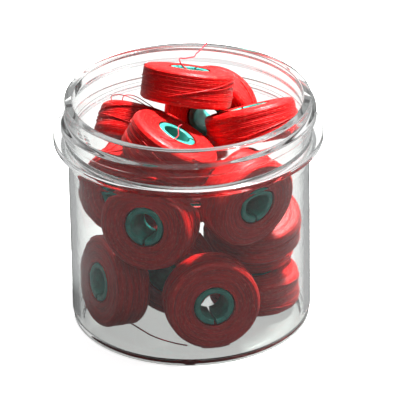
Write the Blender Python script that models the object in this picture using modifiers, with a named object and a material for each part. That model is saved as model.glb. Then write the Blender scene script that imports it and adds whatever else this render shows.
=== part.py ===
"""Clear screw-neck jar, open at the top, holding sixteen sideless thread bobbins.

Metres, +Z up. The origin is the middle of the ring that the jar stands on, and -Y is
its front. Each bobbin is a winding of thread round a slit core, under one empty at its
centre, so that it lifts out as one piece. Two loose thread ends are tubes of their own.
"""
import math

import bmesh
import bpy
from mathutils import Vector
from mathutils.geometry import interpolate_bezier

MM = 0.001

# Bobbins
BOBBIN_DIAMETER = 19.6 * MM
BOBBIN_WIDTH = 7.6 * MM
BOBBIN_ROUNDING = 1.2 * MM
CORE_DIAMETER = 8.2 * MM
CORE_WALL = 1.2 * MM
CORE_SLIT = 0.7 * MM
CORE_SETBACK = 0.1 * MM
CORE_FIT = 0.3 * MM

# Where the bobbins lie: name, then the centre across, to the back and above the floor in
# millimetres, then the lean of its axis from upright and the side it leans to in degrees.
# Listed in the order of the stack: each comes before those that lie over it.
LAYOUT_DIAMETER = 19.6 * MM
LAYOUT_WIDTH = 7.6 * MM
LAYOUT = (
    ("16", (4.0, -17.5, 10.5), 84, -78),
    ("15", (-9.0, 12.5, 10.0), 55, -56),
    ("14", (-4.0, -4.0, 11.0), 90, -120),
    ("13", (-16.0, -8.0, 10.5), 83, -152),
    ("12", (13.5, 1.0, 4.5), 0, 0),
    ("11", (12.5, 5.5, 12.5), 0, 0),
    ("10", (13.5, -2.5, 21.0), 18, -87),
    ("09", (0.0, 12.5, 22.0), 11, -27),
    ("08", (-13.0, -4.0, 30.0), 86, -108),
    ("07", (-8.0, -15.0, 28.0), 82, -112),
    ("06", (11.5, -13.5, 32.5), 95, -52),
    ("05", (-10.0, 8.5, 37.0), 43, 64),
    ("04", (-4.0, -10.5, 42.5), 29, 10),
    ("03", (5.0, 17.0, 37.0), 90, -107),
    ("02", (13.5, 0.0, 42.5), 26, 119),
    ("01", (0.0, 4.5, 49.5), 22, 66),
)
SIDE_CLEARANCE = 0.4 * MM
FLOOR_CLEARANCE = 0.1 * MM

# Jar
RIM_HEIGHT = 50.6 * MM
BODY_WALL = 1.35 * MM
NECK_WALL = 1.75 * MM
FLOOR_THICKNESS = 0.9 * MM
FOOT_RECESS = 0.3 * MM
FOOT_STEP = 0.25 * MM
FOOT_HEIGHT = 1.7 * MM
FOOT_WIDTH = 1.6 * MM
FLOOR_FILLET = 0.5 * MM
LIP_ROUNDING = 0.15 * MM
BEAD_DEPTH = 2.55 * MM
BEAD_HEIGHT = 1.5 * MM
BEAD_ROUNDING = 0.25 * MM
BEAD_DROP = 7.9 * MM
COLLAR_HEIGHT = 2.4 * MM
COLLAR_TAPER = 0.6 * MM

# Thread: one ridge that rises anticlockwise, a little short of a full turn
THREAD_DEPTH = 1.05 * MM
THREAD_FOOT = 3.4 * MM
THREAD_CREST = 1.4 * MM
THREAD_PITCH = 3.2 * MM
THREAD_DROP = 5.1 * MM
THREAD_SINK = 0.4 * MM
THREAD_START = 175.0
THREAD_SWEEP = 350.0
THREAD_STEPS = 46
THREAD_FADE_STEPS = 3

# Loose thread ends, as the points they pass through in millimetres
TAIL_DIAMETER = 0.3 * MM
TAIL_SPACING = 0.75 * MM
RIM_TAIL = (
    (-1.5, 2.0, 47.5), (0.5, 2.0, 47.5), (1.5, 3.5, 48.0), (2.0, 5.0, 49.5),
    (1.5, 6.0, 51.0), (1.0, 7.0, 52.0), (0.0, 7.5, 53.0), (-1.0, 7.5, 54.0),
    (-1.5, 7.5, 55.0), (-1.5, 9.0, 55.0), (-0.5, 11.0, 54.0), (0.5, 13.5, 53.0),
    (1.5, 16.0, 52.0), (2.0, 18.5, 51.5), (3.0, 21.5, 51.0), (4.0, 24.0, 51.0),
    (4.5, 25.5, 51.0),
)
FLOOR_TAIL = (
    (-18.0, 6.0, 1.5), (-17.5, 3.0, 1.5), (-16.5, 0.5, 1.5), (-16.0, -2.5, 1.5),
    (-15.5, -5.0, 1.5), (-14.0, -7.5, 1.5), (-12.5, -9.0, 1.5), (-10.5, -11.5, 1.5),
    (-8.5, -14.0, 1.5), (-6.0, -16.0, 1.5), (-3.5, -17.5, 1.5), (-1.0, -18.5, 1.5),
)

# Facets
JAR_STEPS = 48
WINDING_STEPS = 24
CORE_STEPS = 16
REACH_STEPS = 72
ROUTE_STEPS = 16

COLLECTION = "bobbin_box"
CUTTERS = "bobbin_box_cutters"

THREAD_RED = (0.78, 0.01, 0.012, 1.0)
CORE_TEAL = (0.05, 0.42, 0.34, 1.0)
JAR_CLEAR = (0.9, 0.93, 0.92, 1.0)


def clear_scene():
    for thing in list(bpy.data.objects):
        bpy.data.objects.remove(thing, do_unlink=True)


def new_collection(name, parent):
    made = bpy.data.collections.new(name)
    parent.children.link(made)
    return made


def material(name, colour, roughness, metallic=0.0, transmission=0.0):
    made = bpy.data.materials.new(name)
    made.use_nodes = True
    shader = made.node_tree.nodes["Principled BSDF"]
    shader.inputs["Base Color"].default_value = colour
    shader.inputs["Roughness"].default_value = roughness
    shader.inputs["Metallic"].default_value = metallic
    shader.inputs["Transmission Weight"].default_value = transmission
    return made


def add_object(name, data, collection, look=None):
    made = bpy.data.objects.new(name, data)
    collection.objects.link(made)
    if look and not data.materials:
        data.materials.append(look)
    return made


def as_cutter(thing):
    thing.hide_render = True
    thing.display_type = "WIRE"
    return thing


def arc(centre_r, centre_z, radius, start, end, steps):
    """Points of an arc in the section plane, its angles in degrees from +R towards +Z."""
    points = []
    for step in range(steps + 1):
        angle = math.radians(start + (end - start) * step / steps)
        points.append((centre_r + radius * math.cos(angle), centre_z + radius * math.sin(angle)))
    return points


def section_mesh(name, points, closed):
    """An outline in the XZ plane, for a Screw modifier to turn about Z."""
    mesh = bpy.data.meshes.new(name)
    count = len(points)
    edges = [(index, (index + 1) % count) for index in range(count if closed else count - 1)]
    mesh.from_pydata([(r, 0.0, z) for r, z in points], edges, [])
    return mesh


def add_screw(thing, steps, angle=360.0, rise=0.0):
    screw = thing.modifiers.new("turn", "SCREW")
    screw.axis = "Z"
    screw.angle = math.radians(angle)
    screw.screw_offset = rise
    screw.steps = steps
    screw.render_steps = steps
    screw.use_merge_vertices = angle == 360.0
    screw.merge_threshold = 0.00001
    return screw


def add_boolean(thing, other, operation):
    boolean = thing.modifiers.new(operation.lower(), "BOOLEAN")
    boolean.operation = operation
    boolean.solver = "EXACT"
    boolean.object = other


def evaluated_mesh(thing, name):
    """A copy of the object's mesh with its modifiers applied."""
    depsgraph = bpy.context.evaluated_depsgraph_get()
    depsgraph.update()
    mesh = bpy.data.meshes.new_from_object(thing.evaluated_get(depsgraph))
    mesh.name = name
    return mesh


def smooth(mesh, angle=35.0):
    mesh.shade_smooth()
    mesh.set_sharp_from_angle(angle=math.radians(angle))


def baked(name, points, steps, collection, cutter=None):
    """A closed outline turned into one mesh that several objects can share."""
    master = add_object(name + "_master", section_mesh(name, points, True), collection)
    add_screw(master, steps)
    if cutter:
        add_boolean(master, cutter, "DIFFERENCE")
    mesh = evaluated_mesh(master, name)
    smooth(mesh)
    bpy.data.objects.remove(master, do_unlink=True)
    return mesh


# Bobbins

def bobbin_axis(lean, side):
    lean, side = math.radians(lean), math.radians(side)
    return Vector((math.sin(lean) * math.cos(side), math.sin(lean) * math.sin(side), math.cos(lean)))


def layout_scale():
    """The layout spreads with the bobbins, so that larger ones don't meet."""
    return max(BOBBIN_DIAMETER / LAYOUT_DIAMETER, BOBBIN_WIDTH / LAYOUT_WIDTH)


def bobbin_centre(place):
    scale = layout_scale() * MM
    floor = FOOT_RECESS + FLOOR_THICKNESS + FLOOR_CLEARANCE
    return Vector((place[0] * scale, place[1] * scale, place[2] * scale + floor))


def heap_reach():
    """How far from the jar's axis the outermost bobbin comes."""
    radius = BOBBIN_DIAMETER / 2 - BOBBIN_ROUNDING
    half_width = BOBBIN_WIDTH / 2 - BOBBIN_ROUNDING
    reach = 0.0
    for _, place, lean, side in LAYOUT:
        axis = bobbin_axis(lean, side)
        across = axis.orthogonal().normalized()
        along = axis.cross(across)
        for end in (-half_width, half_width):
            for step in range(REACH_STEPS):
                angle = 2 * math.pi * step / REACH_STEPS
                rim = across * math.cos(angle) + along * math.sin(angle)
                point = bobbin_centre(place) + axis * end + rim * radius
                reach = max(reach, math.hypot(point.x, point.y))
    return reach + BOBBIN_ROUNDING


def winding_section():
    """The wound thread: flat sides, rounded edges, and a bore that clears the core."""
    radius = BOBBIN_DIAMETER / 2
    bore = CORE_DIAMETER / 2 + CORE_FIT
    half = BOBBIN_WIDTH / 2
    turn = BOBBIN_ROUNDING
    outline = [(bore, half)]
    outline += arc(radius - turn, half - turn, turn, 90, 0, 2)
    outline += arc(radius - turn, turn - half, turn, 0, -90, 2)
    outline.append((bore, -half))
    return outline


def core_section():
    outer = CORE_DIAMETER / 2
    inner = outer - CORE_WALL
    half = BOBBIN_WIDTH / 2 - CORE_SETBACK
    return [(inner, half), (outer, half), (outer, -half), (inner, -half)]


def slit_cutter(collection):
    """A block through one side of the core, from inside the hole to beyond its outside."""
    mesh = bpy.data.meshes.new("core_slit")
    block = bmesh.new()
    bmesh.ops.create_cube(block, size=1.0)
    size = Vector((CORE_DIAMETER / 2, CORE_SLIT, 2 * BOBBIN_WIDTH))
    bmesh.ops.scale(block, vec=size, verts=block.verts)
    bmesh.ops.translate(block, vec=(CORE_DIAMETER / 2, 0, 0), verts=block.verts)
    block.to_mesh(mesh)
    block.free()
    return as_cutter(add_object("core_slit", mesh, collection))


def add_bobbins(collection, cutters):
    """Sixteen bobbins: an empty for each, with its winding and its core under it."""
    thread = material("thread_red", THREAD_RED, 0.6)
    teal = material("core_teal", CORE_TEAL, 0.4)
    cutter = slit_cutter(cutters)
    winding = baked("winding", winding_section(), WINDING_STEPS, cutters)
    core = baked("core", core_section(), CORE_STEPS, cutters, cutter)
    holders = {}
    for name, place, lean, side in LAYOUT:
        holder = add_object("bobbin_" + name, None, collection)
        holder.location = bobbin_centre(place)
        holder.rotation_euler = (0.0, math.radians(lean), math.radians(side))
        add_object("winding_" + name, winding, collection, thread).parent = holder
        add_object("core_" + name, core, collection, teal).parent = holder
        holders[name] = holder
    return holders


# Jar

def jar_section(bore):
    """Half of the jar cut through: out along the floor, up the bore, over the rim and
    down the outside to the foot, and in under the floor."""
    floor = FOOT_RECESS + FLOOR_THICKNESS
    neck = bore + NECK_WALL
    body = bore + BODY_WALL
    bead = neck + BEAD_DEPTH
    bead_top = RIM_HEIGHT - BEAD_DROP
    bead_foot = bead_top - BEAD_HEIGHT
    collar_foot = bead_foot - COLLAR_HEIGHT
    foot = body - FOOT_STEP
    lip, turn = LIP_ROUNDING, BEAD_ROUNDING
    outline = [(0.0, floor)]
    outline += arc(bore - FLOOR_FILLET, floor + FLOOR_FILLET, FLOOR_FILLET, -90, 0, 2)
    outline += arc(bore + lip, RIM_HEIGHT - lip, lip, 180, 90, 1)
    outline += arc(neck - lip, RIM_HEIGHT - lip, lip, 90, 0, 1)
    outline.append((neck, bead_top))
    outline += arc(bead - turn, bead_top - turn, turn, 90, 0, 2)
    outline += arc(bead - turn, bead_foot + turn, turn, 0, -90, 2)
    outline.append((neck, bead_foot))
    outline.append((neck, collar_foot))
    outline.append((body, collar_foot - COLLAR_TAPER))
    outline.append((body, FOOT_HEIGHT + FOOT_STEP))
    outline.append((foot, FOOT_HEIGHT))
    outline.append((foot, FOOT_STEP))
    outline.append((foot - FOOT_STEP, 0.0))
    outline.append((foot - FOOT_STEP - FOOT_WIDTH, 0.0))
    outline.append((foot - FOOT_STEP - FOOT_WIDTH - FOOT_RECESS, FOOT_RECESS))
    outline.append((0.0, FOOT_RECESS))
    return outline


def thread_section(neck):
    """The ridge's section: its foot is sunk in the neck, and its flanks slope alike."""
    foot, crest = neck - THREAD_SINK, neck + THREAD_DEPTH
    high, low = THREAD_FOOT / 2, THREAD_CREST / 2
    return [(foot, high), (crest, low), (crest, -low), (foot, -high)]


def fade_ends(ridge, neck):
    """Draws the crest back into the wall at both ends, so that the ridge starts bluntly."""
    corners = len(thread_section(neck))
    hidden = neck - THREAD_SINK / 2
    for vertex in ridge.verts:
        step = vertex.index // corners
        share = min(1.0, min(step, THREAD_STEPS - step) / THREAD_FADE_STEPS)
        reach = math.hypot(vertex.co.x, vertex.co.y)
        if reach > neck:
            wanted = hidden + (reach - hidden) * math.sin(share * math.pi / 2)
            vertex.co.x *= wanted / reach
            vertex.co.y *= wanted / reach


def thread_ridge(neck, cutters):
    """The screw thread as a closed solid, to be joined to the neck."""
    master = add_object("thread_master", section_mesh("thread", thread_section(neck), True), cutters)
    add_screw(master, THREAD_STEPS, THREAD_SWEEP, THREAD_PITCH * THREAD_SWEEP / 360)
    mesh = evaluated_mesh(master, "thread")
    bpy.data.objects.remove(master, do_unlink=True)
    ridge = bmesh.new()
    ridge.from_mesh(mesh)
    ridge.verts.ensure_lookup_table()
    fade_ends(ridge, neck)
    bmesh.ops.holes_fill(ridge, edges=ridge.edges, sides=0)
    bmesh.ops.recalc_face_normals(ridge, faces=ridge.faces)
    ridge.to_mesh(mesh)
    ridge.free()
    placed = as_cutter(add_object("thread_ridge", mesh, cutters))
    placed.location.z = RIM_HEIGHT - THREAD_DROP
    placed.rotation_euler.z = math.radians(THREAD_START)
    return placed


def add_jar(collection, cutters):
    bore = heap_reach() + SIDE_CLEARANCE
    jar = add_object("jar_blank", section_mesh("jar", jar_section(bore), False), cutters)
    add_screw(jar, JAR_STEPS)
    add_boolean(jar, thread_ridge(bore + NECK_WALL, cutters), "UNION")
    mesh = evaluated_mesh(jar, "jar")
    bpy.data.objects.remove(jar, do_unlink=True)
    smooth(mesh)
    clear = material("jar_clear", JAR_CLEAR, 0.05, transmission=1.0)
    return add_object("jar", mesh, collection, clear)


# Loose thread ends

def smooth_route(points):
    """Points at an even spacing along a smooth curve through the route's own points."""
    fine = []
    for index in range(len(points) - 1):
        start, end = points[index], points[index + 1]
        before = points[max(index - 1, 0)]
        after = points[min(index + 2, len(points) - 1)]
        leave = start + (end - before) / 6
        arrive = end - (after - start) / 6
        fine += interpolate_bezier(start, leave, arrive, end, ROUTE_STEPS)[:-1]
    fine.append(points[-1])
    even = [fine[0]]
    for point in fine:
        if (point - even[-1]).length >= TAIL_SPACING:
            even.append(point)
    return even


def add_tail(name, route, holder, collection, look):
    """A thread end: a thin tube with closed ends, carried by its own bobbin."""
    points = smooth_route([Vector(point) * MM for point in route])
    curve = bpy.data.curves.new(name, "CURVE")
    curve.dimensions = "3D"
    curve.bevel_depth = TAIL_DIAMETER / 2
    curve.bevel_resolution = 2
    curve.resolution_u = 1
    curve.render_resolution_u = 0
    curve.use_fill_caps = True
    spline = curve.splines.new("POLY")
    spline.points.add(len(points) - 1)
    for knot, point in zip(spline.points, points):
        knot.co = (*point, 1.0)
    tail = add_object(name, curve, collection, look)
    tail.parent = holder
    tail.matrix_parent_inverse = holder.matrix_world.inverted()


def build():
    clear_scene()
    collection = new_collection(COLLECTION, bpy.context.scene.collection)
    cutters = new_collection(CUTTERS, bpy.context.scene.collection)
    add_jar(collection, cutters)
    holders = add_bobbins(collection, cutters)
    bpy.context.view_layer.update()
    loose = material("tail_red", THREAD_RED, 0.6)
    add_tail("rim_tail", RIM_TAIL, holders["01"], collection, loose)
    add_tail("floor_tail", FLOOR_TAIL, holders["16"], collection, loose)


build()
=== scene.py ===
"""Looks of the screw-neck jar of thread bobbins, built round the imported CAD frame.

Lengths are in metres, and MM turns millimetres into metres. The constants' angles are in
degrees, where no comment says radians. Each bobbin's place and lean are read from its CAD
winding and core, and the jar's sizes from its CAD box.
"""
import math

import bpy
import numpy as np
from mathutils import Matrix, Vector
from mathutils.geometry import interpolate_bezier


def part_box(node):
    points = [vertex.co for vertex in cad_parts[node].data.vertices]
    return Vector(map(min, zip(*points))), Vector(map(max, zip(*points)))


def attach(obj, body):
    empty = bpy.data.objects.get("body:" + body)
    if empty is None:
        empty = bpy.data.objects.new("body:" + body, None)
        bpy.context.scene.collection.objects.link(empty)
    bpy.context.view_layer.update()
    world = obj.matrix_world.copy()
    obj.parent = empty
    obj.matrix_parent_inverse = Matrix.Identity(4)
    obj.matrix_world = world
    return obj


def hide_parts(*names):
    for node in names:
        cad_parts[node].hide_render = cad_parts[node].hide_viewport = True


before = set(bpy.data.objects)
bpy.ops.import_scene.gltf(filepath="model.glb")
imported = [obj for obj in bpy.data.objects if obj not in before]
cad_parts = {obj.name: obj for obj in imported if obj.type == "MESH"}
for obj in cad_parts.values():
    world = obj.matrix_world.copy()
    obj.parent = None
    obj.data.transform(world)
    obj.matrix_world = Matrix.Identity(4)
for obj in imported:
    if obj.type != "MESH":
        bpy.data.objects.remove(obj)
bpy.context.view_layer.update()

MM = 0.001
NUMBERS = [f"{number:02d}" for number in range(1, 17)]

# Jar
JAR_STEPS = 288
NECK_WALL = 1.75 * MM
BODY_WALL = 1.35 * MM
FLOOR_THICKNESS = 0.9 * MM
FOOT_RECESS = 0.3 * MM
FOOT_STEP = 0.25 * MM
FOOT_HEIGHT = 1.7 * MM
FOOT_WIDTH = 1.6 * MM
FLOOR_FILLET = 0.5 * MM
LIP_ROUNDING = 0.25 * MM
BEAD_DEPTH = 2.55 * MM
BEAD_HEIGHT = 1.5 * MM
BEAD_ROUNDING = 0.35 * MM
BEAD_DROP = 7.9 * MM
COLLAR_HEIGHT = 2.4 * MM
COLLAR_TAPER = 0.6 * MM
THREAD_DEPTH = 1.05 * MM
THREAD_FOOT = 3.4 * MM
THREAD_CREST = 1.4 * MM
THREAD_PITCH = 3.2 * MM
THREAD_DROP = 5.1 * MM
THREAD_START = 175.0
THREAD_SWEEP = 350.0
THREAD_FADE = 18.0
NECK_ROWS = 84
PARTING_AZIMUTH = -86.6
PARTING_WIDTH = 0.25 * MM
PARTING_HEIGHT = 0.05 * MM
MARK_RADIUS = 26.0 * MM
MARK_SLOPE = 0.2 * MM
# Marks on the jar's wall. A place is an azimuth, a height and a slant, and a size is a
# width and a height.
GATE_AT = (-91.0, 0.95 * MM, 0.0)
GATE_SIZE = (2.9 * MM, 1.3 * MM)
GATE_RISE = 0.15 * MM
STOP_PLACES = ((-150.0, 48.6 * MM, -0.8), (-143.5, 48.3 * MM, -0.8))
STOP_SIZE = (0.5 * MM, 1.6 * MM)
STOP_RISE = 0.35 * MM
HUB_RADIUS = 0.5 * MM
BEAD_FILLET = 0.2 * MM
NECK_TOP = 1.2 * LIP_ROUNDING
COLLAR_EDGE = 0.15 * MM
FOOT_EDGE = 0.1 * MM
UNDERSIDE_INSET = 3 * FOOT_WIDTH
FLOOR_ROWS = 14
BORE_ROWS = 24
WALL_ROWS = 30
FOOT_ROWS = 8
UNDERSIDE_ROWS = 10
LIP_STEPS = 5
BEAD_STEPS = 6
FILLET_STEPS = 3
SAME_SURFACE = 0.01 * MM
GATE_FROM = 0.5 * MM
JAR_SMOOTH = 50

# Windings
DRUM_STEPS = 96
TURN_PITCH = 0.38 * MM
TURN_DEPTH = 0.05 * MM
EDGE_ROUNDING = 1.2 * MM
EDGE_STEPS = 14
DRUM_BORE_GAP = 0.3 * MM
DRUM_BORE_STEPS = 4
BORE_TOLERANCE = 0.05 * MM
ROWS_PER_TURN = 4
ROW_GAP = 0.02 * MM
# The turns lie in uneven bands: BAND_LENGTH and BAND_GROWTH are in millimetres
BAND_WAVES = 6
BAND_DEPTH = 0.07 * MM / 4
BAND_LENGTH = 0.9
BAND_GROWTH = 0.7
BAND_SWING = (0.1, 0.5)
THREAD_SMOOTH = 60
FLAT_BOBBIN = "11"
# The end of a bobbin's axis that counts as its face is the one nearer to this direction
FACE_LOOKS = Vector((0.0, -0.6, 0.8))
SLIT_FACE_LIMIT = 0.3

# Stray turns on each winding. STRAND_CLIMB is in millimetres.
STRANDS = 5
STRAND_SEED = 1000
STRAND_RADIUS = 0.11 * MM
STRAND_SINK = 0.03 * MM
STRAND_INSET = 0.3 * MM
STRAND_SWEEP = (70, 200)
STRAND_CLIMB = (1.5, 5.0)
STRAND_START_LIMIT = 0.2
STRAND_STEPS = 12
STRAND_STEP_ANGLE = 5
TUBE_SIDES = 6

# Stray thread on three bobbins. FACE_LOOP has shares of the radius along X and Y and a lift
# in millimetres. EDGE_LOOPS have a turn in radians, a share of the radius and a lift.
# CORE_LOOP has a turn in radians and a depth in millimetres.
FACE_LOOPED = "04"
EDGE_LOOPED = "05"
CORE_LOOPED = "16"
FACE_LOOP = (
    (0.2, 0.55, 0.15), (0.1, 0.3, 0.9), (-0.05, 0.0, 1.2),
    (-0.1, -0.35, 0.7), (-0.3, -0.6, 0.15), (-0.55, -0.6, 0.1),
)
EDGE_LOOPS = (
    ((2.2, 0.8, 0.1), (2.5, 0.95, 0.6), (2.9, 1.02, 0.7), (3.2, 0.9, 0.5), (3.5, 0.75, 0.1)),
    ((2.6, 0.7, 0.1), (2.9, 0.92, 0.9), (3.2, 1.0, 1.0), (3.5, 0.85, 0.5), (3.8, 0.7, 0.1)),
)
CORE_LOOP = ((1.9, 3.0), (2.3, 1.8), (2.8, 0.8), (3.3, 0.6), (3.7, 1.4), (3.9, 2.6))
CORE_LOOP_REACH = 0.95

# Core
CORE_WALL = 1.2 * MM
CORE_SLIT = 0.7 * MM
CORE_SETBACK = 0.1 * MM
CORE_ROUNDING = 0.25 * MM
CORE_ARC_STEPS = 60
CORE_SMOOTH = 40

# Loose thread ends, as the points they pass through in millimetres
TAIL_DIAMETER = 0.3 * MM
TAIL_BEVEL_STEPS = 3
ROUTE_STEPS = 8
RIM_TAIL = (
    (-1.5, 2.0, 47.5), (0.5, 2.0, 47.5), (1.5, 3.5, 48.0), (2.0, 5.0, 49.5),
    (1.5, 6.0, 51.0), (1.0, 7.0, 52.0), (0.0, 7.5, 53.0), (-1.0, 7.5, 54.0),
    (-1.5, 7.5, 55.0), (-1.5, 9.0, 55.0), (-0.5, 11.0, 54.0), (0.5, 13.5, 53.0),
    (1.5, 16.0, 52.0), (2.0, 18.5, 51.5), (3.0, 21.5, 51.0), (4.0, 24.0, 51.0),
    (4.5, 25.5, 51.0),
)
FLOOR_TAIL = (
    (-18.0, 6.0, 1.5), (-17.5, 3.0, 1.5), (-16.5, 0.5, 1.5), (-16.0, -2.5, 1.5),
    (-15.5, -5.0, 1.5), (-14.0, -7.5, 1.5), (-12.5, -9.0, 1.5), (-10.5, -11.5, 1.5),
    (-8.5, -14.0, 1.5), (-6.0, -16.0, 1.5), (-3.5, -17.5, 1.5), (-1.0, -18.5, 1.5),
)

# Looks. A stop is a position and a colour. A roughness or a share is the value where the
# noise is 0 and where it is 1. A bump is its strength and its distance.
WHITE = (1.0, 1.0, 1.0)
BLACK = (0.0, 0.0, 0.0)
STREAK_WIDTH = 0.42 * MM
STREAK_STRETCH = 1.4
STREAK_STOPS = ((0.28, (0.36, 0.0, 0.001)), (0.5, (0.68, 0.002, 0.002)), (0.72, (0.9, 0.008, 0.006)))
FIBRE_WIDTH = 0.17 * MM
FIBRE_STRETCH = 14.0
# These stops pick out the painted highlights, which are light pink glint spots in the thread's base
# colour.
PAINTED_GLINT_STOPS = ((0.58, BLACK), (0.70, WHITE))
FIBRE_ROUGHNESS = (0.6, 0.26)
FIBRE_BUMP = (0.8, 0.08 * MM)
PATCH_SIZE = 5.0 * MM
PATCH_SHARE = (0.0, 0.5)
PATCH_RED = (0.46, 0.0, 0.004)
# Painted highlight: the strength and colour of the glint spots mixed into the thread's base colour.
PAINTED_GLINT_STRENGTH = 0.55
PAINTED_GLINT_RED = (1.0, 0.17, 0.12)
SHEEN_RED = (1.0, 0.2, 0.15, 1.0)
PLY_SIZE = 0.35 * MM
PLY_STOPS = ((0.35, (0.42, 0.0, 0.01)), (0.65, (0.85, 0.02, 0.05)))
PLY_ROUGHNESS = (0.6, 0.4)
PLY_BUMP = (0.4, 0.05 * MM)
MOTTLE_SIZE = 1.6 * MM
MOTTLE_STOPS = ((0.3, (0.0, 0.2, 0.165)), (0.7, (0.02, 0.4, 0.33)))
SCUFF_SIZE = 0.3 * MM
SCUFF_SHARE = (0.0, 0.25)
SCUFF_TEAL = (0.3, 0.78, 0.66)
SCUFF_ROUGHNESS = (0.28, 0.5)
SCUFF_BUMP = (0.25, 0.03 * MM)
TEAL_SCATTER = (0.3, 1.0, 0.8)
FLOW_SIZE = 9.0 * MM
FLOW_BUMP = (0.12, 0.4 * MM)
HAZE_SIZE = 0.8 * MM
HAZE_ROUGHNESS = (0.0, 0.07)
JAR_TINT = (0.97, 0.98, 0.975, 1.0)
JAR_SHADE = (0.88, 0.9, 0.89, 1.0)
JAR_IOR = 1.49
GRAIN_SCALE = 8.0
GRAIN_STOPS = ((0.3, (0.93, 0.93, 0.93)), (0.7, (0.95, 0.95, 0.95)))

# Stage
FLOOR_SIDE = 6.0
LIGHT_BOUNCES = 24
FLOOR_BOUNCE = (0.07, 0.06, 0.06)
FLOOR_GLOW = 0.85
SHEET_GLOW = 3.2
SHEET_THROUGH = (0.19, 0.192, 0.189)
SHEET_MIRRORED = (0.075, 0.076, 0.076)
SKY_FROM = Vector((0.35, 0.6, 0.75)).normalized()
SKY_DIM = (0.035, 0.036, 0.036)
SKY_BRIGHT = (1.1, 1.1, 1.1)
SKY_EDGES = (0.1, 0.9)
SKY_ON_THREAD = 0.3
# A lamp is a place, the side of its square and a power in watts
KEY_LAMP = ((0.2, 0.12, 0.62), 0.1, 15.0)
FILL_LAMP = ((-0.1, -0.45, 0.5), 0.25, 0.3)

# Camera. The lens and the sensor are in Blender's own millimetres.
CAMERA_TARGET = Vector((2.19, 0.0, 26.0)) * MM
CAMERA_DISTANCE = 846.7 * MM
CAMERA_ELEVATION = 27.75
CAMERA_ROLL = -1.03
CAMERA_LENS = 360.0
CAMERA_SENSOR = 36.0
CAMERA_NEAR = 0.01


# Nodes

class Nodes:
    """Short calls for building one material's node tree."""

    def __init__(self, name):
        self.material = bpy.data.materials.new(name)
        self.material.use_nodes = True
        self.tree = self.material.node_tree
        self.shader = self.tree.nodes["Principled BSDF"]
        self.output = self.tree.nodes["Material Output"]

    def add(self, kind, **settings):
        node = self.tree.nodes.new("ShaderNode" + kind)
        for name, value in settings.items():
            setattr(node, name, value)
        return node

    def link(self, source, target):
        self.tree.links.new(source, target)

    def feed(self, name, source):
        """Links a source to one of the shader's own sockets."""
        self.link(source, self.shader.inputs[name])

    def set(self, **values):
        """Sets uniform values on the shader's own sockets."""
        for name, value in values.items():
            self.shader.inputs[name.replace("_", " ")].default_value = value

    def place(self):
        return self.add("TexCoord").outputs["Object"]

    def math(self, operation, first, second=None):
        node = self.add("Math", operation=operation)
        for socket, value in zip(node.inputs, (first, second)):
            if isinstance(value, (int, float)):
                socket.default_value = value
            elif value is not None:
                self.link(value, socket)
        return node.outputs[0]

    def noise(self, vector, scale, detail=3.0, w=None):
        node = self.add("TexNoise", noise_dimensions="4D" if w else "3D")
        node.inputs["Scale"].default_value = scale
        node.inputs["Detail"].default_value = detail
        self.link(vector, node.inputs["Vector"])
        if w:
            self.link(w, node.inputs["W"])
        return node.outputs["Fac"]

    def ramp(self, source, stops):
        node = self.add("ValToRGB")
        elements = node.color_ramp.elements
        while len(elements) < len(stops):
            elements.new(0.5)
        for element, (position, colour) in zip(elements, stops):
            element.position = position
            element.color = (*colour, 1.0)
        self.link(source, node.inputs["Fac"])
        return node.outputs["Color"]

    def mix(self, share, first, second):
        node = self.add("Mix", data_type="RGBA")
        sockets = (node.inputs["Factor"], node.inputs[6], node.inputs[7])
        for socket, value in zip(sockets, (share, first, second)):
            if isinstance(value, tuple):
                socket.default_value = (*value, 1.0)
            elif isinstance(value, (int, float)):
                socket.default_value = value
            else:
                self.link(value, socket)
        return node.outputs[2]

    def span(self, source, limits):
        """A source from 0 to 1, spread over the range between two limits."""
        node = self.add("MapRange")
        node.inputs["To Min"].default_value = limits[0]
        node.inputs["To Max"].default_value = limits[1]
        self.link(source, node.inputs["Value"])
        return node.outputs[0]

    def bump(self, height, relief):
        """Relief is the bump's strength and its distance."""
        node = self.add("Bump")
        node.inputs["Strength"].default_value = relief[0]
        node.inputs["Distance"].default_value = relief[1]
        self.link(height, node.inputs["Height"])
        self.feed("Normal", node.outputs[0])

    def turned(self, along_turns, across_turns):
        """Noise coordinates stretched round a winding's axis: a vector and a fourth value."""
        parts = self.add("SeparateXYZ")
        self.link(self.place(), parts.inputs[0])
        x, y, z = parts.outputs
        squares = self.math("ADD", self.math("MULTIPLY", x, x), self.math("MULTIPLY", y, y))
        radius = self.math("SQRT", squares)
        joined = self.add("CombineXYZ")
        self.link(self.math("MULTIPLY", radius, across_turns), joined.inputs[0])
        self.link(self.math("MULTIPLY", z, across_turns), joined.inputs[1])
        self.link(self.math("MULTIPLY", self.math("DIVIDE", x, radius), along_turns), joined.inputs[2])
        return joined.outputs[0], self.math("MULTIPLY", self.math("DIVIDE", y, radius), along_turns)


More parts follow.
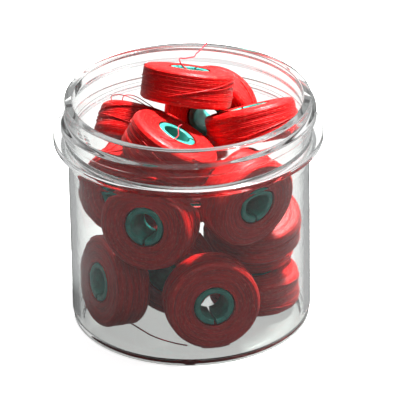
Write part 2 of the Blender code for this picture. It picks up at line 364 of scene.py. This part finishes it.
def thread_material():
    """Close-wound polyester: streaks along the turns, painted highlights as light pink glint spots in
    the base colour, and a soft sheen.
    """
    nodes = Nodes("thread_red")
    across, around = nodes.turned(STREAK_STRETCH, 1 / STREAK_WIDTH)
    streaks = nodes.noise(across, 1.0, 4.0, around)
    fine, fine_w = nodes.turned(FIBRE_STRETCH, 1 / FIBRE_WIDTH)
    fibres = nodes.noise(fine, 1.0, 2.0, fine_w)
    patches = nodes.noise(nodes.place(), 1 / PATCH_SIZE, 2.0)
    red = nodes.ramp(streaks, STREAK_STOPS)
    deep = nodes.mix(nodes.span(patches, PATCH_SHARE), red, PATCH_RED)
    # Painted highlight: light pink glint spots go into the base colour wherever the fibre noise is
    # high.
    painted_glint = nodes.math("MULTIPLY", nodes.ramp(fibres, PAINTED_GLINT_STOPS), PAINTED_GLINT_STRENGTH)
    nodes.feed("Base Color", nodes.mix(painted_glint, deep, PAINTED_GLINT_RED))
    nodes.feed("Roughness", nodes.span(fibres, FIBRE_ROUGHNESS))
    nodes.set(Sheen_Weight=0.06, Sheen_Roughness=0.4, Sheen_Tint=SHEEN_RED)
    nodes.set(Specular_IOR_Level=0.35)
    nodes.bump(fibres, FIBRE_BUMP)
    return nodes.material


def tail_material():
    """A single thread, with light and dark patches for its plies."""
    nodes = Nodes("tail_red")
    plies = nodes.noise(nodes.place(), 1 / PLY_SIZE, 2.0)
    nodes.feed("Base Color", nodes.ramp(plies, PLY_STOPS))
    nodes.feed("Roughness", nodes.span(plies, PLY_ROUGHNESS))
    nodes.set(Sheen_Weight=0.2)
    nodes.bump(plies, PLY_BUMP)
    return nodes.material


def core_material():
    """Moulded teal plastic, a little translucent, with faint scuffs."""
    nodes = Nodes("core_teal")
    place = nodes.place()
    mottle = nodes.noise(place, 1 / MOTTLE_SIZE)
    scuffs = nodes.noise(place, 1 / SCUFF_SIZE, 4.0)
    teal = nodes.ramp(mottle, MOTTLE_STOPS)
    nodes.feed("Base Color", nodes.mix(nodes.span(scuffs, SCUFF_SHARE), teal, SCUFF_TEAL))
    nodes.feed("Roughness", nodes.span(scuffs, SCUFF_ROUGHNESS))
    nodes.set(Subsurface_Weight=0.25, Subsurface_Scale=0.6 * MM)
    nodes.set(Subsurface_Radius=TEAL_SCATTER)
    nodes.bump(scuffs, SCUFF_BUMP)
    return nodes.material


def jar_material():
    """Clear moulded plastic. Lamps shine through it unbent, a little dimmed."""
    nodes = Nodes("jar_clear")
    place = nodes.place()
    flow = nodes.noise(place, 1 / FLOW_SIZE, 2.0)
    haze = nodes.noise(place, 1 / HAZE_SIZE)
    nodes.feed("Roughness", nodes.span(haze, HAZE_ROUGHNESS))
    nodes.set(Base_Color=JAR_TINT, Transmission_Weight=1.0, IOR=JAR_IOR)
    nodes.bump(flow, FLOW_BUMP)
    clear = nodes.add("BsdfTransparent")
    clear.inputs[0].default_value = JAR_SHADE
    path = nodes.add("LightPath")
    unbent = nodes.math("MAXIMUM", path.outputs["Is Shadow Ray"], path.outputs["Is Diffuse Ray"])
    mixer = nodes.add("MixShader")
    for source, socket in zip((unbent, nodes.shader.outputs[0], clear.outputs[0]), mixer.inputs):
        nodes.link(source, socket)
    nodes.link(mixer.outputs[0], nodes.output.inputs["Surface"])
    return nodes.material


def floor_material():
    """A white sheet that glows a little. Seen straight, or straight through the jar, it is
    white. Reflected in the jar it is dim, and it throws little light up at the thread."""
    nodes = Nodes("floor_white")
    grain = nodes.ramp(nodes.noise(nodes.place(), GRAIN_SCALE), GRAIN_STOPS)
    path = nodes.add("LightPath")
    camera = path.outputs["Is Camera Ray"]
    mirrored = nodes.math("MINIMUM", path.outputs["Glossy Depth"], 1.0)
    sheet = nodes.mix(mirrored, SHEET_THROUGH, SHEET_MIRRORED)
    sheet = nodes.mix(path.outputs["Is Diffuse Ray"], sheet, FLOOR_BOUNCE)
    nodes.feed("Base Color", nodes.mix(camera, sheet, grain))
    nodes.feed("Emission Color", nodes.mix(camera, sheet, WHITE))
    glow = nodes.math("MULTIPLY", path.outputs["Is Transmission Ray"], SHEET_GLOW)
    strength = nodes.math("ADD", glow, nodes.math("MULTIPLY", camera, FLOOR_GLOW))
    nodes.feed("Emission Strength", strength)
    nodes.set(Roughness=0.9, Specular_IOR_Level=0.0)
    return nodes.material


# Meshes

def new_mesh(name, vertices, faces):
    mesh = bpy.data.meshes.new(name)
    mesh.from_pydata(vertices, [], faces)
    return mesh


def add_piece(name, data, look, smooth_angle=None):
    """A new object in the scene, with one material."""
    data.materials.append(look)
    if smooth_angle is not None:
        data.shade_smooth()
        data.set_sharp_from_angle(angle=math.radians(smooth_angle))
    piece = bpy.data.objects.new(name, data)
    bpy.context.scene.collection.objects.link(piece)
    return piece


def grid_faces(rows, columns, wrap_rows=False):
    """Quads between rows of points; each row closes on itself."""
    faces = []
    for row in range(rows if wrap_rows else rows - 1):
        here, there = row * columns, (row + 1) % rows * columns
        for column in range(columns):
            after = (column + 1) % columns
            faces.append((here + column, there + column, there + after, here + after))
    return faces


def capped_faces(rows, columns):
    """Quads that face the other way from grid_faces, and a cap at the first and last row."""
    faces = []
    for row in range(rows - 1):
        here, there = row * columns, (row + 1) * columns
        for column in range(columns):
            after = (column + 1) % columns
            faces.append((here + column, here + after, there + after, there + column))
    faces.append(tuple(reversed(range(columns))))
    faces.append(tuple(range((rows - 1) * columns, rows * columns)))
    return faces


def arc(centre_r, centre_z, radius, start, end, steps):
    """Points on an arc between two angles in degrees, with both ends."""
    angles = np.radians(np.linspace(start, end, steps + 1))
    return [(centre_r + radius * math.cos(a), centre_z + radius * math.sin(a)) for a in angles]


def straight(start, end, steps):
    """Points from start towards end, without the last one."""
    return [(start[0] + (end[0] - start[0]) * i / steps, start[1] + (end[1] - start[1]) * i / steps)
            for i in range(steps)]


# Jar

def jar_sizes():
    low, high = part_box("jar")
    bead = (high.x - low.x) / 2
    neck = bead - BEAD_DEPTH
    bore = neck - NECK_WALL
    return {"rim": high.z, "bead": bead, "neck": neck, "bore": bore, "body": bore + BODY_WALL}


def jar_outline(size):
    """Half of the jar cut through, from the middle of the floor up the bore, over the rim
    and down the outside to the foot, and in under the floor."""
    floor = FOOT_RECESS + FLOOR_THICKNESS
    rim, bead, neck, bore, body = (size[key] for key in ("rim", "bead", "neck", "bore", "body"))
    bead_top = rim - BEAD_DROP
    bead_foot = bead_top - BEAD_HEIGHT
    collar_foot = bead_foot - COLLAR_HEIGHT
    foot = body - FOOT_STEP
    lip, turn, fillet = LIP_ROUNDING, BEAD_ROUNDING, BEAD_FILLET
    outline = straight((HUB_RADIUS, floor), (bore - FLOOR_FILLET, floor), FLOOR_ROWS)
    outline += arc(bore - FLOOR_FILLET, floor + FLOOR_FILLET, FLOOR_FILLET, -90, 0, LIP_STEPS)
    outline += straight((bore, floor + 2 * FLOOR_FILLET), (bore, rim - 2 * lip), BORE_ROWS)
    outline += arc(bore + lip, rim - lip, lip, 180, 90, LIP_STEPS)
    outline += arc(neck - lip, rim - lip, lip, 90, 0, LIP_STEPS)
    outline += straight((neck, rim - NECK_TOP), (neck, bead_top + fillet), NECK_ROWS)
    outline += arc(neck + fillet, bead_top + fillet, fillet, 180, 270, FILLET_STEPS)
    outline += arc(bead - turn, bead_top - turn, turn, 90, 0, BEAD_STEPS)
    outline += arc(bead - turn, bead_foot + turn, turn, 0, -90, BEAD_STEPS)
    outline += arc(neck + fillet, bead_foot - fillet, fillet, 90, 180, FILLET_STEPS)
    outline += [(neck, collar_foot + COLLAR_EDGE), (neck, collar_foot)]
    wall_foot = FOOT_HEIGHT + 2 * FOOT_STEP
    outline += straight((body, collar_foot - COLLAR_TAPER), (body, wall_foot), WALL_ROWS)
    outline += arc(foot, FOOT_HEIGHT + FOOT_STEP, FOOT_STEP, 0, -90, FILLET_STEPS)
    outline += straight((foot, FOOT_HEIGHT - FOOT_EDGE), (foot, FOOT_STEP), FOOT_ROWS)
    outline += arc(foot - FOOT_STEP, FOOT_STEP, FOOT_STEP, 0, -90, FILLET_STEPS)
    ring_inner = foot - FOOT_STEP - FOOT_WIDTH
    outline += [(ring_inner, 0.0), (ring_inner - FOOT_RECESS, FOOT_RECESS)]
    under = (foot - UNDERSIDE_INSET, FOOT_RECESS)
    outline += straight(under, (HUB_RADIUS, FOOT_RECESS), UNDERSIDE_ROWS)
    outline.append((HUB_RADIUS, FOOT_RECESS))
    return np.array(outline)


def thread_rise(angle, height, size):
    """How far the screw thread stands out of the neck, for arrays of angles and heights."""
    turned = (np.degrees(angle) - THREAD_START) % 360.0
    middle = size["rim"] - THREAD_DROP + THREAD_PITCH * turned / 360.0
    beyond = np.abs(height - middle)
    flank = (THREAD_FOOT / 2 - beyond) / (THREAD_FOOT / 2 - THREAD_CREST / 2)
    section = np.clip(flank, 0.0, 1.0)
    section = section * section * (3 - 2 * section)
    ends = np.clip(np.minimum(turned, THREAD_SWEEP - turned) / THREAD_FADE, 0.0, 1.0)
    return THREAD_DEPTH * section * np.sin(ends * math.pi / 2)


def soft_box(angle, height, place, extent):
    """1 inside a small box on the wall, falling to 0 over a short slope round it."""
    azimuth, middle, slant = place
    along = ((np.degrees(angle) - azimuth + 180.0) % 360.0 - 180.0) * math.pi / 180 * MARK_RADIUS
    along = along - (height - middle) * slant
    side = (extent[0] / 2 - np.abs(along)) / MARK_SLOPE
    top = (extent[1] / 2 - np.abs(height - middle)) / MARK_SLOPE
    return np.clip(np.minimum(side, top), 0.0, 1.0)


def jar_points(size):
    """Every point of the jar's surface, one row for each outline point."""
    outline = jar_outline(size)
    angle = np.linspace(0.0, 2 * math.pi, JAR_STEPS, endpoint=False)
    radius = np.repeat(outline[:, :1], JAR_STEPS, axis=1)
    height = np.repeat(outline[:, 1:], JAR_STEPS, axis=1)
    turn = np.repeat(angle[None, :], len(outline), axis=0)
    on_neck = (np.abs(radius - size["neck"]) < SAME_SURFACE) & (height > size["rim"] - BEAD_DROP)
    radius = radius + np.where(on_neck, thread_rise(turn, height, size), 0.0)
    outside = on_neck | (np.abs(radius - size["body"]) < SAME_SURFACE)
    off = np.radians((np.degrees(turn) - PARTING_AZIMUTH + 180.0) % 360.0 - 180.0) * size["body"]
    seam = np.clip(1.0 - np.abs(off) / PARTING_WIDTH, 0.0, 1.0) * PARTING_HEIGHT
    radius = radius + np.where(outside, seam, 0.0)
    gate = soft_box(turn, height, GATE_AT, GATE_SIZE) * GATE_RISE
    radius = radius + np.where(radius > size["bore"] + GATE_FROM, gate, 0.0)
    for place in STOP_PLACES:
        stop = soft_box(turn, height, place, STOP_SIZE) * STOP_RISE
        radius = radius + np.where(on_neck, stop, 0.0)
    return np.stack((radius * np.cos(turn), radius * np.sin(turn), height), axis=-1)


def add_jar(look):
    size = jar_sizes()
    points = jar_points(size)
    rows = len(points)
    vertices = points.reshape(-1, 3).tolist()
    faces = grid_faces(rows, JAR_STEPS)
    inner, outer = len(vertices), len(vertices) + 1
    vertices += [(0.0, 0.0, FOOT_RECESS + FLOOR_THICKNESS), (0.0, 0.0, FOOT_RECESS)]
    last = (rows - 1) * JAR_STEPS
    for step in range(JAR_STEPS):
        after = (step + 1) % JAR_STEPS
        faces.append((inner, step, after))
        faces.append((outer, last + after, last + step))
    jar = add_piece("clear_jar", new_mesh("clear_jar", vertices, faces), look, JAR_SMOOTH)
    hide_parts("jar")
    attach(jar, "jar")


# Bobbins

def bobbin_matrix(number):
    """Where a bobbin lies: its centre, its axis as Z, and its core's slit along X."""
    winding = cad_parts["winding_" + number].data
    low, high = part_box("winding_" + number)
    centre = (low + high) / 2
    points = np.array([vertex.co for vertex in winding.vertices]) - np.array(centre)
    axis = Vector(np.linalg.eigh(points.T @ points)[1][:, 0]).normalized()
    if axis.dot(FACE_LOOKS) < 0:
        axis = -axis
    towards = Vector()
    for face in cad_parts["core_" + number].data.polygons:
        out = face.center - centre
        out -= axis * out.dot(axis)
        out.normalize()
        lean, facing = abs(face.normal.dot(axis)), abs(face.normal.dot(out))
        if lean < SLIT_FACE_LIMIT and facing < SLIT_FACE_LIMIT:
            towards += out * face.area
    across = (towards - axis * towards.dot(axis)).normalized()
    matrix = Matrix((across, axis.cross(across), axis)).transposed().to_4x4()
    matrix.translation = centre
    return matrix


def bobbin_sizes():
    """A winding's radius and half width and a core's radius, from a bobbin that lies flat."""
    low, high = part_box("winding_" + FLAT_BOBBIN)
    core_low, core_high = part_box("core_" + FLAT_BOBBIN)
    core = (core_high.y - core_low.y) / 2
    return {"radius": (high.y - low.y) / 2, "half": (high.z - low.z) / 2, "core": core}


def drum_outline(size):
    """The winding's section from its bore over one face, down the side and back."""
    bore = size["core"] + DRUM_BORE_GAP
    radius, half, turn = size["radius"], size["half"], EDGE_ROUNDING
    side = half - turn
    face_rows = round((radius - turn - bore) / TURN_PITCH * ROWS_PER_TURN)
    side_rows = round(2 * side / TURN_PITCH * ROWS_PER_TURN)
    outline = straight((bore, half), (radius - turn, half), face_rows)
    outline += arc(radius - turn, side, turn, 90, 0, EDGE_STEPS)
    outline += straight((radius, side - ROW_GAP), (radius, ROW_GAP - side), side_rows)
    outline += arc(radius - turn, -side, turn, 0, -90, EDGE_STEPS)
    outline += straight((radius - turn - ROW_GAP, -half), (bore, -half), face_rows)
    outline += straight((bore, -half), (bore, half), DRUM_BORE_STEPS)
    return np.array(outline)


def drum_points(size, seed):
    """The winding's surface: thread turns as ridges, in bands that lie a little uneven."""
    random = np.random.default_rng(seed)
    outline = drum_outline(size)
    inward = np.roll(outline, -1, axis=0) - np.roll(outline, 1, axis=0)
    inward = np.stack((inward[:, 1], -inward[:, 0]), axis=-1)
    inward /= np.linalg.norm(inward, axis=1)[:, None]
    run = np.concatenate(([0.0], np.cumsum(np.linalg.norm(np.diff(outline, axis=0), axis=1))))
    angle = np.linspace(0.0, 2 * math.pi, DRUM_STEPS, endpoint=False)
    run, turn = np.meshgrid(run, angle, indexing="ij")
    sink = TURN_DEPTH * (0.5 + 0.5 * np.cos(2 * math.pi * run / TURN_PITCH + turn))
    for wave in range(BAND_WAVES):
        length = (BAND_LENGTH + BAND_GROWTH * wave) * MM
        phase = random.uniform(0, 2 * math.pi)
        reach = random.uniform(*BAND_SWING)
        swings = random.integers(1, 3)
        swing = reach * np.sin(turn * swings + random.uniform(0, 2 * math.pi))
        sink = sink + BAND_DEPTH * (1 + np.sin(2 * math.pi * run / length + phase + swing))
    on_bore = outline[:, 0] < size["core"] + DRUM_BORE_GAP + BORE_TOLERANCE
    sink = np.where(on_bore[:, None], 0.0, sink)
    radius = outline[:, :1] + inward[:, :1] * sink
    height = outline[:, 1:] + inward[:, 1:] * sink
    return np.stack((radius * np.cos(turn), radius * np.sin(turn), height), axis=-1)


def tube(path):
    """Points and faces of a thin closed strand along a path."""
    path = [Vector(point) for point in path]
    vertices = []
    for index, point in enumerate(path):
        ahead, behind = path[min(index + 1, len(path) - 1)], path[max(index - 1, 0)]
        along = (ahead - behind).normalized()
        if index == 0:
            side = along.orthogonal().normalized()
        else:
            side = (side - along * side.dot(along)).normalized()
        up = along.cross(side)
        for step in range(TUBE_SIDES):
            angle = 2 * math.pi * step / TUBE_SIDES
            out = side * math.cos(angle) + up * math.sin(angle)
            vertices.append(tuple(point + out * STRAND_RADIUS))
    return vertices, capped_faces(len(path), TUBE_SIDES)


def append_tube(vertices, faces, path):
    more, rings = tube(path)
    first = len(vertices)
    vertices += more
    faces += [tuple(first + index for index in ring) for ring in rings]


def side_strand(size, start, sweep, low, high):
    """A stray turn that crosses the wound side from one edge towards the other."""
    points = []
    steps = max(STRAND_STEPS, int(abs(sweep) / STRAND_STEP_ANGLE))
    for step in range(steps + 1):
        share = step / steps
        angle = math.radians(start + sweep * share)
        height = low + (high - low) * share
        over = max(0.0, abs(height) - (size["half"] - EDGE_ROUNDING))
        rounding = math.sqrt(max(0.0, EDGE_ROUNDING ** 2 - over ** 2))
        radius = size["radius"] - EDGE_ROUNDING + rounding - STRAND_SINK
        points.append((radius * math.cos(angle), radius * math.sin(angle), height))
    return points


def strands_of(size, seed):
    """A few stray turns for each winding."""
    random = np.random.default_rng(STRAND_SEED + seed)
    reach = size["half"] - STRAND_INSET
    paths = []
    for _ in range(STRANDS):
        start = random.uniform(0, 360)
        sweep = random.uniform(*STRAND_SWEEP) * random.choice((-1, 1))
        low = random.uniform(-reach, reach * STRAND_START_LIMIT)
        high = min(reach, low + random.uniform(*STRAND_CLIMB) * MM)
        paths.append(side_strand(size, start, sweep, low, high))
    return paths


def add_winding(number, size, matrix, look):
    points = drum_points(size, int(number))
    vertices = points.reshape(-1, 3).tolist()
    quads = grid_faces(len(points), DRUM_STEPS, wrap_rows=True)
    faces = [tuple(reversed(face)) for face in quads]
    for path in strands_of(size, int(number)):
        append_tube(vertices, faces, path)
    mesh = new_mesh("thread_drum_" + number, vertices, faces)
    drum = add_piece("thread_drum_" + number, mesh, look, THREAD_SMOOTH)
    drum.matrix_world = matrix
    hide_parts("winding_" + number)
    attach(drum, "bobbin_" + number)


def core_mesh(size):
    """A slit tube with rounded rims, one row of points for each step round it."""
    outer, inner = size["core"], size["core"] - CORE_WALL
    half, turn = size["half"] - CORE_SETBACK, CORE_ROUNDING
    top, bottom = half - turn, turn - half
    outline = arc(outer - turn, top, turn, 90, 0, FILLET_STEPS)
    outline += arc(outer - turn, bottom, turn, 0, -90, FILLET_STEPS)
    outline += arc(inner + turn, bottom, turn, 270, 180, FILLET_STEPS)
    outline += arc(inner + turn, top, turn, 180, 90, FILLET_STEPS)
    gap = math.asin(CORE_SLIT / 2 / outer)
    vertices = []
    for step in range(CORE_ARC_STEPS + 1):
        angle = gap + (2 * math.pi - 2 * gap) * step / CORE_ARC_STEPS
        vertices += [(r * math.cos(angle), r * math.sin(angle), z) for r, z in outline]
    return new_mesh("slit_core", vertices, capped_faces(CORE_ARC_STEPS + 1, len(outline)))


def add_core(number, mesh, matrix, look):
    core = add_piece("slit_core_" + number, mesh.copy(), look, CORE_SMOOTH)
    core.matrix_world = matrix
    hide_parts("core_" + number)
    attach(core, "bobbin_" + number)


# Loose thread ends

def smooth_route(points):
    """A smooth curve through the route's own points."""
    fine = []
    for index in range(len(points) - 1):
        start, end = points[index], points[index + 1]
        before, after = points[max(index - 1, 0)], points[min(index + 2, len(points) - 1)]
        leaving, arriving = start + (end - before) / 6, end - (after - start) / 6
        fine += interpolate_bezier(start, leaving, arriving, end, ROUTE_STEPS + 1)[:-1]
    return fine + [points[-1]]


def add_tail(name, route, node, body, look):
    """A free thread end along the same route as its CAD tube."""
    points = smooth_route([Vector(point) * MM for point in route])
    curve = bpy.data.curves.new(name, "CURVE")
    curve.dimensions = "3D"
    curve.bevel_depth = TAIL_DIAMETER / 2
    curve.bevel_resolution = TAIL_BEVEL_STEPS
    curve.use_fill_caps = True
    spline = curve.splines.new("POLY")
    spline.points.add(len(points) - 1)
    for knot, point in zip(spline.points, points):
        knot.co = (*point, 1.0)
    tail = add_piece(name, curve, look)
    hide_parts(node)
    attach(tail, body)


# Stage

def add_floor(look):
    side = FLOOR_SIDE
    corners = [(-side, -side, 0), (side, -side, 0), (side, side, 0), (-side, side, 0)]
    mesh = new_mesh("floor", corners, [(0, 1, 2, 3)])
    add_piece("floor", mesh, look)


def add_lamp(name, place, size, power):
    """A square lamp that faces the jar."""
    data = bpy.data.lights.new(name, "AREA")
    data.size = size
    data.energy = power
    lamp = bpy.data.objects.new(name, data)
    lamp.location = place
    aim = CAMERA_TARGET - Vector(place)
    lamp.rotation_euler = aim.to_track_quat("-Z", "Y").to_euler()
    bpy.context.scene.collection.objects.link(lamp)


def add_world():
    """A sky that is bright above and behind the jar, dim in front of it, and gives the
    thread only a share of its light."""
    world = bpy.data.worlds.new("studio")
    world.use_nodes = True
    tree = world.node_tree
    place = tree.nodes.new("ShaderNodeTexCoord")
    facing = tree.nodes.new("ShaderNodeVectorMath")
    facing.operation = "DOT_PRODUCT"
    facing.inputs[1].default_value = SKY_FROM
    ramp = tree.nodes.new("ShaderNodeValToRGB")
    ramp.color_ramp.interpolation = "EASE"
    for element, edge, colour in zip(ramp.color_ramp.elements, SKY_EDGES, (SKY_DIM, SKY_BRIGHT)):
        element.position = edge
        element.color = (*colour, 1.0)
    tree.links.new(place.outputs["Generated"], facing.inputs[0])
    tree.links.new(facing.outputs["Value"], ramp.inputs["Fac"])
    tree.links.new(ramp.outputs["Color"], tree.nodes["Background"].inputs["Color"])
    path = tree.nodes.new("ShaderNodeLightPath")
    dimmer = tree.nodes.new("ShaderNodeMapRange")
    dimmer.inputs["To Min"].default_value = 1.0
    dimmer.inputs["To Max"].default_value = SKY_ON_THREAD
    tree.links.new(path.outputs["Is Diffuse Ray"], dimmer.inputs["Value"])
    tree.links.new(dimmer.outputs[0], tree.nodes["Background"].inputs["Strength"])
    bpy.context.scene.world = world


def add_camera():
    lift, roll = math.radians(CAMERA_ELEVATION), math.radians(CAMERA_ROLL)
    back = Vector((0.0, -math.cos(lift), math.sin(lift)))
    right = Vector((1.0, 0.0, 0.0))
    up = back.cross(right)
    across = right * math.cos(roll) + up * math.sin(roll)
    upward = up * math.cos(roll) - right * math.sin(roll)
    data = bpy.data.cameras.new("camera")
    data.sensor_width = CAMERA_SENSOR
    data.lens = CAMERA_LENS
    data.clip_start = CAMERA_NEAR
    camera = bpy.data.objects.new("camera", data)
    matrix = Matrix((across, upward, back)).transposed().to_4x4()
    matrix.translation = CAMERA_TARGET + back * CAMERA_DISTANCE
    camera.matrix_world = matrix
    bpy.context.scene.collection.objects.link(camera)
    bpy.context.scene.camera = camera


def add_stage():
    scene = bpy.context.scene
    scene.view_settings.view_transform = "Standard"
    add_floor(floor_material())
    add_world()
    scene.cycles.max_bounces = LIGHT_BOUNCES
    scene.cycles.transmission_bounces = LIGHT_BOUNCES
    scene.cycles.glossy_bounces = LIGHT_BOUNCES
    scene.cycles.transparent_max_bounces = LIGHT_BOUNCES
    add_lamp("key", *KEY_LAMP)
    add_lamp("fill", *FILL_LAMP)
    add_camera()


# Stray thread on three bobbins

def loose_loops(number, size):
    """Stray thread on a bobbin, in its own frame: off its face, in its core, or over its edge."""
    radius, half = size["radius"], size["half"]
    if number == FACE_LOOPED:
        return [[(x * radius, y * radius, half + lift * MM) for x, y, lift in FACE_LOOP]]
    if number == CORE_LOOPED:
        reach = CORE_LOOP_REACH * (size["core"] - CORE_WALL)
        return [[(reach * math.cos(turn), reach * math.sin(turn), half - depth * MM)
                 for turn, depth in CORE_LOOP]]
    return [[(radius * share * math.cos(turn), radius * share * math.sin(turn), half + lift * MM)
             for turn, share, lift in loop] for loop in EDGE_LOOPS]


def add_loops(number, size, matrix, look):
    vertices, faces = [], []
    for loop in loose_loops(number, size):
        append_tube(vertices, faces, smooth_route([Vector(point) for point in loop]))
    mesh = new_mesh("stray_thread_" + number, vertices, faces)
    stray = add_piece("stray_thread_" + number, mesh, look, THREAD_SMOOTH)
    stray.matrix_world = matrix
    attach(stray, "bobbin_" + number)


# The whole scene

def build():
    add_stage()
    loose = tail_material()
    add_tail("thread_end_rim", RIM_TAIL, "rim_tail", "bobbin_01", loose)
    add_tail("thread_end_floor", FLOOR_TAIL, "floor_tail", "bobbin_16", loose)
    add_jar(jar_material())
    size = bobbin_sizes()
    thread, teal = thread_material(), core_material()
    core = core_mesh(size)
    for number in NUMBERS:
        matrix = bobbin_matrix(number)
        add_winding(number, size, matrix, thread)
        add_core(number, core, matrix, teal)
        if number in (FACE_LOOPED, EDGE_LOOPED, CORE_LOOPED):
            add_loops(number, size, matrix, loose)


build()
